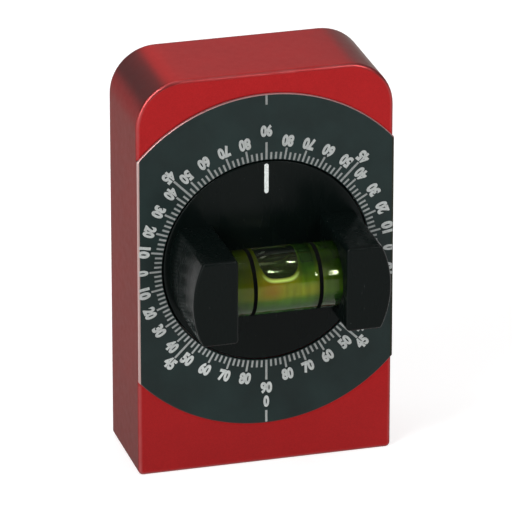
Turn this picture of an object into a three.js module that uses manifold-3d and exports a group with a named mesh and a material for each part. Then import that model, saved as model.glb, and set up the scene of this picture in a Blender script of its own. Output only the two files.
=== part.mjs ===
// A flange level: a red block with a round dial and a turret that carries a spirit vial.
// Millimetres, +Z up. The origin is the centre of the base, the dial faces -Y, and the width is along X.
import * as THREE from 'three';
import { mergeVertices } from 'three/addons/utils/BufferGeometryUtils.js';
import Module from 'manifold-3d';

const wasm = await Module();
wasm.setup();

// Clearances and the overrun of a cut past the face that it opens
const overrun = 1;
const fit = 0.05;        // between pieces that are pressed, glued or laid together
const slip = 0.1;        // between pieces that turn on each other
const quarter = Math.PI / 2;

// Counts of facets round a circle
const fine = 48;
const middle = 36;
const coarse = 16;

// Block, with its pocket for the disc and a dial plate as wide as its front
const body = {
  width: 47.8,
  height: 76.2,
  depth: 19.8,
  cornerRadius: 8.6,
  edgeRound: 0.7,
  footRound: 0.2,        // how much larger than edgeRound the foot's corners are
  sideWall: 4.45,        // beside the pocket
  rimPlay: 0.25,         // between the pocket and the disc's rim
};
const plate = {
  thickness: 0.5,
  band: 12.65,           // from the pocket to the plate's round edge
  below: 8.0,            // from the base to the plate
};

// Vial: a clear barrel with a crowned bore, closed at the left and plugged at the right
const vial = {
  radius: 6.0,
  wall: 1.4,             // at the middle of the length
  crown: 0.15,           // how much narrower the bore is at its ends
  endWall: 1.6,
  plugStep: 0.4,         // how much wider the plug's seat is than the bore
  socket: 3.4,           // depth of the seat in each end block
  endPlay: 0.1,          // between the barrel's end and the bottom of its seat
  boreSteps: 8,
};
// The bubble is cut from a wider ellipsoid round the top of the bore, so its underside is nearly flat
const bubble = { length: 7.4, width: 16.0, height: 7.2, offset: -1.0 };
const ring = { inset: 3.9, width: 0.7, depth: 0.16 };     // inset from the end blocks

// Screws: small ones hold the end blocks, one large one holds the turret
const smallScrew = {
  radius: 1.25,
  length: 12.0,
  headRadius: 2.2,
  headHeight: 2.0,
  keyWidth: 2.0,         // across the flats of the key hole
  keyDepth: 1.1,
};
const pivotScrew = {
  radius: 2.0,
  length: 12.0,
  headRadius: 3.8,
  headHeight: 2.2,
  keyWidth: 2.5,
  keyDepth: 1.3,
};
const screwHole = { beyondTip: 0.6, shankPlay: 0.1, headPlay: 0.2, headSink: 0.5 };

// End blocks: what stands round the vial's ends and the screws
const block = {
  cheek: 2.0,            // above and below the vial
  underVial: 2.9,        // from the disc's face to the vial
  overVial: 2.6,         // from the vial to the block's front
  outerWall: 1.65,       // from the round outside to the screws
  socketWall: 0.75,      // from the screws to the bottom of the seat
  screwMargin: 3.6,      // from a screw to the block's top or bottom
  edgeRound: 0.5,
};

// Turret disc, its spindle and the rubber ring in its rim
const disc = {
  rimStep: 0.9,          // from the rim to the end blocks' outside
  thickness: 7.4,
  edgeRound: 0.25,
  spindleRadius: 5.0,
};
const pointer = { width: 0.8, length: 5.7, rimGap: 0.4, depth: 0.3 };
const rubber = { sectionRadius: 0.75, fromFace: 2.7, grooveRoom: 0.1, facets: 8 };

// Bush and washers behind the disc
const bush = { wall: 1.4, flange: 0.5, flangeWidth: 2.5 };
const wave = { width: 2.8, thickness: 0.4, rise: 0.5, count: 3, spindlePlay: 0.3, steps: 48 };
const washer = { rim: 0.3, thickness: 0.8, play: 0.4 };
const recess = { screwSink: 0.5, rimGap: 0.6 };

// Magnets in the base
const magnet = { radius: 5.2, height: 4.6, sink: 0.2 };
const cup = { wall: 1.6, floor: 1.5, sink: 0.1, inset: 10.9 };     // inset from the block's side

// Radii round the turret's axis, from the outside in
const pocketRadius = body.width / 2 - body.sideWall;
const plateRadius = pocketRadius + plate.band;
const dialHeight = plate.below + plateRadius;
const discRadius = pocketRadius - body.rimPlay;
const blockRadius = discRadius - disc.rimStep;
const grooveRadius = pocketRadius - 2 * rubber.sectionRadius - rubber.grooveRoom;
const bushRadius = disc.spindleRadius + slip + bush.wall;
const flangeRadius = bushRadius + bush.flangeWidth;
const waveInner = disc.spindleRadius + wave.spindlePlay;
const waveOuter = waveInner + wave.width;
const washerRadius = waveOuter + washer.rim;
const recessRadius = washerRadius + recess.rimGap;

// Places along the vial and across it, from its middle
const screwX = blockRadius - block.outerWall - smallScrew.radius;
const socketEnd = screwX - smallScrew.radius - block.socketWall;
const halfWindow = socketEnd - vial.socket;
const halfVial = socketEnd - vial.endPlay;
const halfBore = halfVial - vial.endWall;
const ringX = halfWindow - ring.inset;
const blockHalfHeight = vial.radius + block.cheek;
const screwZ = blockHalfHeight - block.screwMargin;
const boreRadius = vial.radius - vial.wall;
const plugSeatRadius = boreRadius + vial.plugStep;

// Magnets' seats, from the base up
const magnetSeatRadius = magnet.radius + fit;
const cupRadius = magnetSeatRadius + cup.wall;
const magnetTop = magnet.sink + magnet.height;
const cupTop = magnetTop + fit + cup.floor;
const cupX = body.width / 2 - cup.inset;

// Places along Y, from the front to the back
const pocketDepth = disc.thickness - plate.thickness + slip + bush.flange;
const springRoom = 2 * fit + wave.thickness + wave.rise;
const recessDepth = springRoom + washer.thickness + pivotScrew.headHeight + recess.screwSink;
const frontY = -body.depth / 2;
const backY = body.depth / 2;
const discFrontY = frontY - plate.thickness;
const discBackY = discFrontY + disc.thickness;
const pocketFloorY = frontY + pocketDepth;
const recessFloorY = backY - recessDepth;
const washerY = recessFloorY + springRoom;
const spindleEndY = washerY - fit;
const pivotHeadY = washerY + washer.thickness + fit;
const vialY = discFrontY - block.underVial - vial.radius;
const blockFrontY = vialY - vial.radius - block.overVial;
const blockFootY = discFrontY - fit;
const smallHeadY = discBackY - screwHole.headSink - smallScrew.headHeight;
const rubberY = discFrontY + rubber.fromFace;

// A closed geometry becomes a solid: only positions are kept, shared corners are merged, and triangles
// that have shrunk to a line, as at the poles of a lathe, are dropped.
function toSolid(geometry) {
  const bare = geometry.index ? geometry.toNonIndexed() : geometry.clone();
  bare.deleteAttribute('normal');
  bare.deleteAttribute('uv');
  const merged = mergeVertices(bare, fit / 1000);
  const index = merged.index.array;
  const kept = [];
  for (let i = 0; i < index.length; i += 3) {
    const [a, b, c] = [index[i], index[i + 1], index[i + 2]];
    if (a !== b && b !== c && c !== a) kept.push(a, b, c);
  }
  return new wasm.Manifold(new wasm.Mesh({
    numProp: 3,
    vertProperties: new Float32Array(merged.attributes.position.array),
    triVerts: new Uint32Array(kept),
  }));
}

function toGeometry(solid) {
  const mesh = solid.getMesh();
  const geometry = new THREE.BufferGeometry();
  geometry.setAttribute('position', new THREE.BufferAttribute(mesh.vertProperties, 3));
  geometry.setIndex(new THREE.BufferAttribute(mesh.triVerts, 1));
  geometry.computeVertexNormals();
  return geometry;
}

const point = (x, y) => new THREE.Vector2(x, y);

// A profile of [radius, place along the axis] pairs turned round the Y axis, drawn from low Y to high Y
// along its outside.
function turned(profile, facets = fine) {
  return new THREE.LatheGeometry(profile.map(([r, y]) => point(r, y)), facets);
}

// A round bar along Y from one place to another
const barAlongY = (radius, fromY, toY, facets = fine) =>
  turned([[0, fromY], [radius, fromY], [radius, toY], [0, toY]], facets);

// Turns a geometry that was made along Y so that it runs along X or Z
const alongX = (geometry) => geometry.rotateZ(-quarter);
const alongZ = (geometry) => geometry.rotateX(quarter);

// A shape drawn in X and Z, stretched along Y between two places, with its edges rounded if asked
function stretched(shape, fromY, toY, edge, facets) {
  const geometry = new THREE.ExtrudeGeometry(shape, {
    depth: toY - fromY - 2 * edge,
    curveSegments: facets,
    bevelEnabled: edge > 0,
    bevelSize: edge,
    bevelThickness: edge,
    bevelOffset: -edge,
    bevelSegments: 3,
  });
  return geometry.rotateX(quarter).translate(0, toY - edge, 0);
}

const red = { color: 0xb3121c, roughness: 0.35, metalness: 0.7 };
const dark = { color: 0x1c2624, roughness: 0.45, metalness: 0.1 };
const black = { color: 0x0b0c0d, roughness: 0.18, metalness: 0.0 };
const white = { color: 0xf2f2ee, roughness: 0.5, metalness: 0.0 };
const clear = { color: 0xe8f4d0, roughness: 0.05, metalness: 0.0, transparent: true, opacity: 0.35 };
const green = { color: 0xb4d422, roughness: 0.1, metalness: 0.0, transparent: true, opacity: 0.8 };
const steel = { color: 0x9a9c9f, roughness: 0.35, metalness: 1.0 };
const nylon = { color: 0xe6e2d4, roughness: 0.6, metalness: 0.0 };
const softBlack = { color: 0x161616, roughness: 0.8, metalness: 0.0 };
const nickel = { color: 0xc4c2bb, roughness: 0.25, metalness: 1.0 };

function piece(name, geometry, finish) {
  const mesh = new THREE.Mesh(geometry, new THREE.MeshStandardMaterial(finish));
  mesh.name = name;
  return mesh;
}

// Outline of the block from the front: nearly square at the foot, round at the two top corners
function bodyOutline() {
  const halfWidth = body.width / 2;
  const foot = body.edgeRound + body.footRound;
  const shape = new THREE.Shape();
  shape.absarc(-halfWidth + foot, foot, foot, 2 * quarter, 3 * quarter);
  shape.lineTo(halfWidth - foot, 0);
  shape.absarc(halfWidth - foot, foot, foot, -quarter, 0);
  shape.lineTo(halfWidth, body.height - body.cornerRadius);
  shape.absarc(halfWidth - body.cornerRadius, body.height - body.cornerRadius, body.cornerRadius, 0, quarter);
  shape.lineTo(-halfWidth + body.cornerRadius, body.height);
  shape.absarc(-halfWidth + body.cornerRadius, body.height - body.cornerRadius, body.cornerRadius,
    quarter, 2 * quarter);
  return shape;
}

// The block: its front edge stays square behind the plate. Pocket and bush bore from the front, recess
// from the back, two round pockets in the base
function bodyBlock() {
  const rounded = toSolid(stretched(bodyOutline(), frontY, backY, body.edgeRound, coarse / 4));
  const square = toSolid(stretched(bodyOutline(), frontY, backY, 0, coarse / 4));
  const behindPlate = toSolid(barAlongY(plateRadius, frontY, frontY + body.edgeRound)
    .translate(0, 0, dialHeight));
  const blank = rounded.add(square.intersect(behindPlate));
  const dialCuts = toSolid(turned([
    [0, frontY - overrun],
    [pocketRadius, frontY - overrun],
    [pocketRadius, pocketFloorY],
    [bushRadius + fit, pocketFloorY],
    [bushRadius + fit, recessFloorY],
    [recessRadius, recessFloorY],
    [recessRadius, backY + overrun],
    [0, backY + overrun],
  ]).translate(0, 0, dialHeight));
  const magnetPocket = alongZ(barAlongY(cupRadius + fit, -overrun, cupTop + fit, middle));
  const left = toSolid(magnetPocket.clone().translate(-cupX, 0, 0));
  const right = toSolid(magnetPocket.translate(cupX, 0, 0));
  return toGeometry(blank.subtract(dialCuts).subtract(left).subtract(right));
}

// The plate: a circle round the dial's centre, cut off at the block's sides, and below the block's top
// edge if it reaches there, with the pocket's hole
function dialPlate() {
  const circle = toSolid(barAlongY(plateRadius, discFrontY, frontY));
  const face = new THREE.BoxGeometry(body.width, body.depth, 2 * body.height);
  const inside = toSolid(face.translate(0, frontY, -dialHeight - body.edgeRound));
  const hole = toSolid(barAlongY(pocketRadius, discFrontY - overrun, frontY + overrun));
  return toGeometry(circle.intersect(inside).subtract(hole));
}

// Flanged bush: the flange carries the disc's back, the tube carries the spindle
function pivotBush() {
  const bore = disc.spindleRadius + slip;
  return toGeometry(toSolid(turned([
    [bore, pocketFloorY - bush.flange],
    [flangeRadius, pocketFloorY - bush.flange],
    [flangeRadius, pocketFloorY - fit],
    [bushRadius, pocketFloorY - fit],
    [bushRadius, recessFloorY],
    [bore, recessFloorY],
    [bore, pocketFloorY - bush.flange],
  ], middle)));
}

// Steel cup, made along Z with the open side down
function magnetCup() {
  return toGeometry(toSolid(alongZ(turned([
    [magnetSeatRadius, cup.sink],
    [cupRadius, cup.sink],
    [cupRadius, cupTop],
    [0, cupTop],
    [0, magnetTop + fit],
    [magnetSeatRadius, magnetTop + fit],
    [magnetSeatRadius, cup.sink],
  ], middle))));
}

function magnetBar() {
  const bar = barAlongY(magnet.radius, magnet.sink, magnetTop, middle);
  return toGeometry(toSolid(alongZ(bar)));
}

// Wavy spring washer that lies between the recess's floor and the flat washer. Its height goes up and
// down with the angle.
function waveWasher() {
  const corners = [];
  const faces = [];
  for (let i = 0; i < wave.steps; i += 1) {
    const angle = (i / wave.steps) * 4 * quarter;
    const low = recessFloorY + fit + wave.rise * (1 + Math.cos(wave.count * angle)) / 2;
    const high = low + wave.thickness;
    for (const [r, y] of [[waveInner, low], [waveOuter, low], [waveOuter, high], [waveInner, high]]) {
      corners.push(r * Math.sin(angle), y, r * Math.cos(angle));
    }
    const here = 4 * i;
    const next = 4 * ((i + 1) % wave.steps);
    for (let k = 0; k < 4; k += 1) {
      const other = (k + 1) % 4;
      faces.push(here + k, next + k, next + other, here + k, next + other, here + other);
    }
  }
  const geometry = new THREE.BufferGeometry();
  geometry.setAttribute('position', new THREE.Float32BufferAttribute(corners, 3));
  geometry.setIndex(faces);
  return toGeometry(toSolid(geometry));
}

function flatWasher() {
  const hole = pivotScrew.radius + washer.play;
  return toGeometry(toSolid(turned([
    [hole, washerY],
    [washerRadius, washerY],
    [washerRadius, washerY + washer.thickness],
    [hole, washerY + washer.thickness],
    [hole, washerY],
  ], middle)));
}

// A screw along Y with its head towards +Y, its head's underside at the origin and a hexagonal key hole
function screw(size) {
  const crown = size.headHeight / 4;
  const shape = toSolid(turned([
    [0, -size.length],
    [size.radius - size.radius / 4, -size.length],
    [size.radius, -size.length + size.radius / 4],
    [size.radius, 0],
    [size.headRadius, 0],
    [size.headRadius, size.headHeight - crown],
    [size.headRadius - crown, size.headHeight],
    [0, size.headHeight],
  ], coarse));
  const keyRadius = size.keyWidth / Math.cos(quarter / 3) / 2;
  const key = toSolid(barAlongY(keyRadius, size.headHeight - size.keyDepth, size.headHeight + overrun, 6));
  return toGeometry(shape.subtract(key));
}

// Places of the four small screws, as [name, X, Z] from the turret's axis
const smallScrews = [
  ['block_screw_left_upper', -screwX, screwZ],
  ['block_screw_left_lower', -screwX, -screwZ],
  ['block_screw_right_upper', screwX, screwZ],
  ['block_screw_right_lower', screwX, -screwZ],
];

// A long hole with round ends, upright on the disc's face, for the pointer line and its groove
function pointerBar(extra, fromY, toY) {
  const radius = pointer.width / 2 + extra;
  const top = discRadius - pointer.rimGap - pointer.width / 2;
  const bottom = top - pointer.length + pointer.width;
  const shape = new THREE.Shape();
  shape.absarc(0, top, radius, 0, 2 * quarter);
  shape.absarc(0, bottom, radius, 2 * quarter, 4 * quarter);
  return toSolid(stretched(shape, fromY, toY, 0, coarse / 2));
}

// The disc with its spindle, the groove for the rubber ring, the screw holes and the pointer's groove
function turretDisc() {
  const groove = rubber.sectionRadius + rubber.grooveRoom;
  const hole = pivotScrew.radius + fit;
  const holeEndY = pivotHeadY - pivotScrew.length - screwHole.beyondTip;
  let shape = toSolid(turned([
    [0, discFrontY],
    [discRadius - disc.edgeRound, discFrontY],
    [discRadius, discFrontY + disc.edgeRound],
    [discRadius, rubberY - groove],
    [grooveRadius, rubberY - groove],
    [grooveRadius, rubberY + groove],
    [discRadius, rubberY + groove],
    [discRadius, discBackY],
    [disc.spindleRadius, discBackY],
    [disc.spindleRadius, spindleEndY],
    [hole, spindleEndY],
    [hole, holeEndY],
    [0, holeEndY],
  ]));
  for (const [, x, z] of smallScrews) {
    const shankRadius = smallScrew.radius + screwHole.shankPlay;
    const headRadius = smallScrew.headRadius + screwHole.headPlay;
    const shank = barAlongY(shankRadius, discFrontY - overrun, discBackY, coarse);
    const head = barAlongY(headRadius, smallHeadY - fit, discBackY + overrun, coarse);
    shape = shape.subtract(toSolid(shank.translate(x, 0, z))).subtract(toSolid(head.translate(x, 0, z)));
  }
  const grooveFloorY = discFrontY + pointer.depth + fit;
  return toGeometry(shape.subtract(pointerBar(fit, discFrontY - overrun, grooveFloorY)));
}

function pointerLine() {
  return toGeometry(pointerBar(0, discFrontY, discFrontY + pointer.depth));
}

// One end block. side is -1 for the left one and 1 for the right one. Its outside is round with the
// disc, its inside is flat, and it holds the vial's end and two screws.
function endBlock(side) {
  const reach = Math.asin(blockHalfHeight / blockRadius);
  const outside = side > 0 ? 0 : 2 * quarter;
  const shape = new THREE.Shape();
  shape.absarc(0, 0, blockRadius, outside - reach, outside + reach);
  shape.lineTo(side * halfWindow, side * blockHalfHeight);
  shape.lineTo(side * halfWindow, -side * blockHalfHeight);
  const blank = toSolid(stretched(shape, blockFrontY, blockFootY + overrun, block.edgeRound, coarse / 2));
  const belowFoot = new THREE.BoxGeometry(4 * blockRadius, 2 * overrun, 4 * blockRadius);
  const seat = alongX(barAlongY(vial.radius + fit, halfWindow - overrun, socketEnd, middle));
  if (side < 0) seat.rotateY(2 * quarter);
  let solid = blank.subtract(toSolid(belowFoot.translate(0, blockFootY + overrun, 0)));
  solid = solid.subtract(toSolid(seat.translate(0, vialY, 0)));
  const tipY = smallHeadY - smallScrew.length - screwHole.beyondTip;
  for (const z of [-screwZ, screwZ]) {
    const hole = barAlongY(smallScrew.radius + fit, tipY, blockFootY + overrun, coarse);
    solid = solid.subtract(toSolid(hole.translate(side * screwX, 0, z)));
  }
  return toGeometry(solid);
}

// The bore is widest at the middle of the vial, so that the bubble rests there
const boreAt = (s, room = 0) => boreRadius - vial.crown * (s / halfBore) ** 2 - room;

function boreCurve(fromS, toS, room) {
  const curve = [];
  for (let i = 0; i <= vial.boreSteps; i += 1) {
    const s = fromS + ((toS - fromS) * i) / vial.boreSteps;
    curve.push([boreAt(s, room), s]);
  }
  return curve;
}

// Barrel along X: outside with a shallow groove for each ring, closed left end, plug seat at the right
function vialBarrel() {
  const outside = [];
  for (const s of [-ringX, ringX]) {
    const half = ring.width / 2 + fit;
    const bottom = vial.radius - ring.depth - fit;
    outside.push([vial.radius, s - half], [bottom, s - half], [bottom, s + half], [vial.radius, s + half]);
  }
  return toGeometry(toSolid(alongX(turned([
    [0, -halfVial],
    [vial.radius, -halfVial],
    ...outside,
    [vial.radius, halfVial],
    [plugSeatRadius, halfVial],
    [plugSeatRadius, halfBore],
    ...boreCurve(halfBore, -halfBore, 0),
    [0, -halfBore],
  ], middle))));
}

function vialPlug() {
  return toGeometry(toSolid(alongX(barAlongY(plugSeatRadius - fit, halfBore + fit, halfVial, middle))));
}

// Liquid along X, with the room of the bubble taken out of its top
function vialFluid() {
  const ends = halfBore - fit;
  const filling = toSolid(alongX(turned([[0, -ends], ...boreCurve(-ends, ends, fit), [0, ends]], middle)));
  const gas = new THREE.SphereGeometry(1, coarse, coarse / 2);
  gas.scale(bubble.length / 2, bubble.width / 2, bubble.height / 2);
  return toGeometry(filling.subtract(toSolid(gas.translate(bubble.offset, 0, boreRadius))));
}

function vialRing() {
  const inner = vial.radius - ring.depth;
  const half = ring.width / 2;
  return toGeometry(toSolid(alongX(turned([
    [inner, -half], [vial.radius, -half], [vial.radius, half], [inner, half], [inner, -half],
  ], middle))));
}

// Rubber ring in the disc's rim, a hair inside the pocket's wall
function frictionRing() {
  const path = pocketRadius - fit - rubber.sectionRadius;
  const geometry = new THREE.TorusGeometry(path, rubber.sectionRadius, rubber.facets, fine);
  return toGeometry(toSolid(geometry.rotateX(quarter).translate(0, rubberY, 0)));
}

// The block and what stays still in it
function fixedPieces() {
  const group = new THREE.Group();
  const dial = new THREE.Group();
  dial.position.z = dialHeight;
  dial.add(piece('dial_plate', dialPlate(), dark), piece('pivot_bush', pivotBush(), nylon));
  dial.add(piece('wave_washer', waveWasher(), steel));
  group.add(piece('body_block', bodyBlock(), red), dial);
  for (const [side, word] of [[-1, 'left'], [1, 'right']]) {
    const pot = new THREE.Group();
    pot.position.x = side * cupX;
    pot.add(piece(`magnet_cup_${word}`, magnetCup(), steel), piece(`magnet_${word}`, magnetBar(), nickel));
    group.add(pot);
  }
  return group;
}

// The vial and what is in it and on it
function vialPieces() {
  const group = new THREE.Group();
  group.position.y = vialY;
  group.add(piece('vial_barrel', vialBarrel(), clear));
  group.add(piece('vial_plug', vialPlug(), softBlack));
  group.add(piece('vial_fluid', vialFluid(), green));
  for (const [side, word] of [[-1, 'left'], [1, 'right']]) {
    const line = piece(`vial_ring_${word}`, vialRing(), softBlack);
    line.position.x = side * ringX;
    group.add(line);
  }
  return group;
}

// The turret: everything that turns on the dial's axis
function turretPieces() {
  const group = new THREE.Group();
  group.position.z = dialHeight;
  group.add(piece('turret_disc', turretDisc(), black), piece('pointer_line', pointerLine(), white));
  group.add(piece('end_block_left', endBlock(-1), black), piece('end_block_right', endBlock(1), black));
  for (const [name, x, z] of smallScrews) {
    const fastener = piece(name, screw(smallScrew), steel);
    fastener.position.set(x, smallHeadY, z);
    group.add(fastener);
  }
  group.add(vialPieces(), piece('friction_ring', frictionRing(), softBlack));
  group.add(piece('flat_washer', flatWasher(), steel));
  const holder = piece('pivot_screw', screw(pivotScrew), steel);
  holder.position.y = pivotHeadY;
  group.add(holder);
  return group;
}

const level = new THREE.Group();
level.add(fixedPieces(), turretPieces());

export default level;
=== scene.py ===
"""Looks of a flange level: a red block, a graduated dial and a turret with a spirit vial."""
import math

import bmesh
import bpy
import numpy as np
from mathutils import Matrix, Vector


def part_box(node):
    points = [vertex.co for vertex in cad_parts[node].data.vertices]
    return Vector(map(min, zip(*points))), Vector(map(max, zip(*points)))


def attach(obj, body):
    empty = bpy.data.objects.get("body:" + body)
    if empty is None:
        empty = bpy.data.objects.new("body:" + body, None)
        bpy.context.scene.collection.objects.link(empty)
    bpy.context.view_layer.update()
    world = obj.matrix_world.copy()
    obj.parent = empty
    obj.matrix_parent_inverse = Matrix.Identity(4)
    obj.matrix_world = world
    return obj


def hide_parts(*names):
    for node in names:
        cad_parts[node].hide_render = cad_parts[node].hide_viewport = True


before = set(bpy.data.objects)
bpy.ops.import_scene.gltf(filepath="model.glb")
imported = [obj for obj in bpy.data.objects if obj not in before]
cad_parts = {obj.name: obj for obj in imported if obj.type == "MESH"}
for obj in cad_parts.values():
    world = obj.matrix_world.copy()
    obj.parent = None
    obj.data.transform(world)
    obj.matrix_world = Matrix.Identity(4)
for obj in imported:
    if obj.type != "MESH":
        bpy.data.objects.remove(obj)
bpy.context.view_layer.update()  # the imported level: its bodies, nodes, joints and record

bl_info = {
    "name": "Flange level looks",
    "version": (1, 0, 0),
    "blender": (4, 5, 0),
    "location": "3D View > Sidebar > Level",
    "description": "Dresses a packed flange level with fine surfaces, dial print and finishes",
    "category": "Object",
}

MM = 0.001
FULL_TURN = 2 * math.pi
QUARTER = math.pi / 2
CREASE = 35.0  # degrees of bend from which an edge stays sharp
MERGE = MM / 1000  # points nearer than this are one
LEAST_ROUND = MM / 100  # smallest radius of a rounded corner
FIT = 0.05 * MM  # play of pieces that sit in each other
ROUND = 96  # points round a small turned piece
SIDES = ((-1, "left"), (1, "right"))


class Span:
    """Ends of a CAD node along X, Y and Z."""

    def __init__(self, node):
        (self.left, self.near, self.foot), (self.right, self.far, self.top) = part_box(node)


# Places and radii that the frame gives
BLOCK = Span("body_block")
PLATE = Span("dial_plate")
DISC = Span("turret_disc")
LEFT = Span("end_block_left")
BARREL = Span("vial_barrel")
FLUID = Span("vial_fluid")
RING = Span("vial_ring_left")
WASHER = Span("flat_washer")
SCREW = Span("pivot_screw")
BUSH = Span("pivot_bush")
CUP = Span("magnet_cup_right")
MAGNET = Span("magnet_right")
POINTER = Span("pointer_line")
DIAL_Z = (PLATE.foot + PLATE.top) / 2
PLATE_RADIUS = (PLATE.top - PLATE.foot) / 2
PLATE_HALF_WIDTH = PLATE.right
DISC_RADIUS = DISC.right
FACE_Y = BLOCK.near
BACK_Y = BLOCK.far
PLATE_Y = PLATE.near
VIAL_Y = (BARREL.near + BARREL.far) / 2
VIAL_RADIUS = (BARREL.far - BARREL.near) / 2
BORE_RADIUS = (FLUID.far - FLUID.near) / 2
DIAL_CENTRE = (0, 0, DIAL_Z)
VIAL_MIDDLE = (0, VIAL_Y, DIAL_Z)
CUP_RADIUS = (CUP.right - CUP.left) / 2
CUP_X = (CUP.left + CUP.right) / 2


def millimetres(name, default, description):
    """Property for a size, whose default is given in millimetres."""
    return bpy.props.FloatProperty(
        name=name, description=description, default=default * MM, unit="LENGTH")


def linear_colour(name, default, description):
    """Property for a colour."""
    return bpy.props.FloatVectorProperty(
        name=name, description=description, default=default, size=3, subtype="COLOR")


class LevelSizes(bpy.types.PropertyGroup):
    """Sizes that the frame doesn't give, in metres."""

    edge_round: millimetres("Block edge", 0.7, "Radius of the block's front and back edges")
    corner_round: millimetres("Top corner", 8.6, "Radius of the block's two top corners")
    foot_round: millimetres("Foot corner", 0.9, "Radius of the block's two bottom corners")
    rim_play: millimetres("Rim play", 0.25, "Gap between the turret disc and its pocket")
    small_break: millimetres("Small break", 0.1, "Radius of the plate's, pocket's and disc's edges")
    end_block_round: millimetres("End block edge", 0.5, "Radius of the end blocks' front edges")
    print_height: millimetres("Print height", 0.02, "How far the print stands out of its face")
    tick_width: millimetres("Tick width", 0.36, "Width of a graduation line")
    long_tick_width: millimetres("Long tick width", 0.4, "Width of the lines at 45 and 90 degrees")
    tick_inside: millimetres("Ticks from", 19.6, "Radius at which the graduations start")
    minor_outside: millimetres("Minor ticks to", 20.95, "Radius at which short graduations end")
    major_outside: millimetres("Major ticks to", 21.8, "Radius at which the 10 degree lines end")
    numeral_height: millimetres("Numeral height", 2.3, "Height of a numeral")
    digit_width: millimetres("Digit width", 1.1, "Width of one digit")
    numeral_radius: millimetres("Numeral radius", 23.15, "Radius of the ring of numerals")


class LevelColours(bpy.types.PropertyGroup):
    """Colours of the finishes, as linear values."""

    red: linear_colour("Anodised red", (0.4, 0.0125, 0.014), "Colour of the block")
    dial: linear_colour("Dial", (0.009, 0.019, 0.018), "Colour of the dial plate")
    black: linear_colour("Turret black", (0.002, 0.004, 0.0035), "Colour of the turret's plastic")
    white: linear_colour("Print white", (0.86, 0.90, 0.88), "Colour of the print and the pointer")
    liquid: linear_colour("Liquid", (0.35, 0.37, 0.012), "Colour of the vial's liquid")
    steel: linear_colour("Steel", (0.52, 0.52, 0.53), "Colour of the screws, washers and cups")


# Surfaces

def ring_surface(rings, closed=False):
    """Skin over rings, as (points, faces). It closes on the middles of its first and last ring, or,
    as a closed tube, its last ring meets its first one."""
    rings = np.asarray(rings, float)
    rows, columns, _ = rings.shape
    points = rings.reshape(-1, 3)
    row, column = np.mgrid[:rows if closed else rows - 1, :columns].reshape(2, -1)
    here, there, beside = row * columns, (row + 1) % rows * columns, (column + 1) % columns
    faces = [here + column, here + beside, there + beside, there + column]
    faces = np.stack(faces, axis=1).tolist()
    if not closed:
        count = len(points)
        points = np.vstack([points, rings[0].mean(axis=0), rings[-1].mean(axis=0)])
        for start, middle in ((0, count), (count - columns, count + 1)):
            faces += [[start + i, start + (i + 1) % columns, middle] for i in range(columns)]
    return points, faces


def filleted(corners, radii, steps, closed=True):
    """Outline through corners, each cut by an arc that touches its two sides, as an array."""
    corners = np.asarray(corners, float)
    count = len(corners)
    points = []
    for i in range(count):
        corner, radius = corners[i], radii[i]
        if radius <= 0 or (not closed and i in (0, count - 1)):
            points.append(corner)
            continue
        back, ahead = corners[i - 1] - corner, corners[(i + 1) % count] - corner
        back, ahead = back / np.linalg.norm(back), ahead / np.linalg.norm(ahead)
        half = math.acos(np.clip(back @ ahead, -1, 1)) / 2
        middle = corner + (back + ahead) / np.linalg.norm(back + ahead) * radius / math.sin(half)
        start = corner + back * radius / math.tan(half) - middle
        end = corner + ahead * radius / math.tan(half) - middle
        sweep = math.pi - 2 * half
        turn = np.linspace(0, sweep, steps + 1)[:, None]
        between = np.sin(sweep - turn) * start + np.sin(turn) * end
        points.extend(middle + between / math.sin(sweep))
    return np.array(points)


def turned(profile, count, axis="Y", middle=DIAL_CENTRE, closed=False):
    """Skin of a (radius, place) profile turned round an axis through middle, at count even angles.
    It closes on the axis at both ends, or is a tube of which a closed profile is the section."""
    profile = np.asarray(profile, float)
    angle = np.linspace(0, FULL_TURN, count, endpoint=False)
    along = np.repeat(profile[:, 1:], count, axis=1)
    first, second = profile[:, :1] * np.cos(angle), profile[:, :1] * np.sin(angle)
    order = {"X": (along, first, second), "Y": (first, along, second), "Z": (first, second, along)}
    return ring_surface(np.stack(order[axis], axis=2) + np.asarray(middle, float), closed)


def arc(centre, radius, start, end, steps):
    """Points of a circle from one angle to another."""
    turn = np.linspace(start, end, steps + 1)
    return np.array(centre) + radius * np.stack([np.cos(turn), np.sin(turn)], axis=1)


def rounded_edge(radius, turn):
    """Inset and depth of an edge's arc at each angle of turn, from its face, at 0, to its side."""
    return list(zip(radius * (1 - np.sin(turn)), radius * (1 - np.cos(turn))))


def at_depth(outline, y):
    """X and Z points as points at one place along Y."""
    return np.insert(outline, 1, y, axis=1)


def slab(outline, near_y, far_y):
    """Flat plate of an outline given as X and Z points, between two places along Y. It is filled
    from its middle, so the outline has to be seen whole from there."""
    return ring_surface([at_depth(outline, near_y), at_depth(outline, far_y)])


def joined(parts):
    """One (points, faces) pair of several."""
    points, faces, base = [], [], 0
    for some_points, some_faces in parts:
        points.append(np.asarray(some_points))
        faces += [[base + i for i in face] for face in some_faces]
        base += len(some_points)
    return np.vstack(points), faces


# Objects

def add_object(name, data):
    """New object in the scene."""
    made = bpy.data.objects.new(name, data)
    bpy.context.scene.collection.objects.link(made)
    return made


def make_object(name, surface, crease=CREASE, **values):
    """Mesh object of a (points, faces) pair, whose edges bent more than crease degrees stay sharp.
    Values are attributes: one number for each point of the rings, and 0 for their ends' middles."""
    points, faces = surface
    mesh = bpy.data.meshes.new(name)
    mesh.from_pydata(np.asarray(points).tolist(), [], faces)
    for key, numbers in values.items():
        numbers = np.resize(np.append(numbers, (0, 0)), len(points)).astype(np.float32)
        mesh.attributes.new(key, "FLOAT", "POINT").data.foreach_set("value", numbers)
    piece = add_object(name, mesh)
    tidy_mesh(mesh, crease)
    return piece


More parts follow.
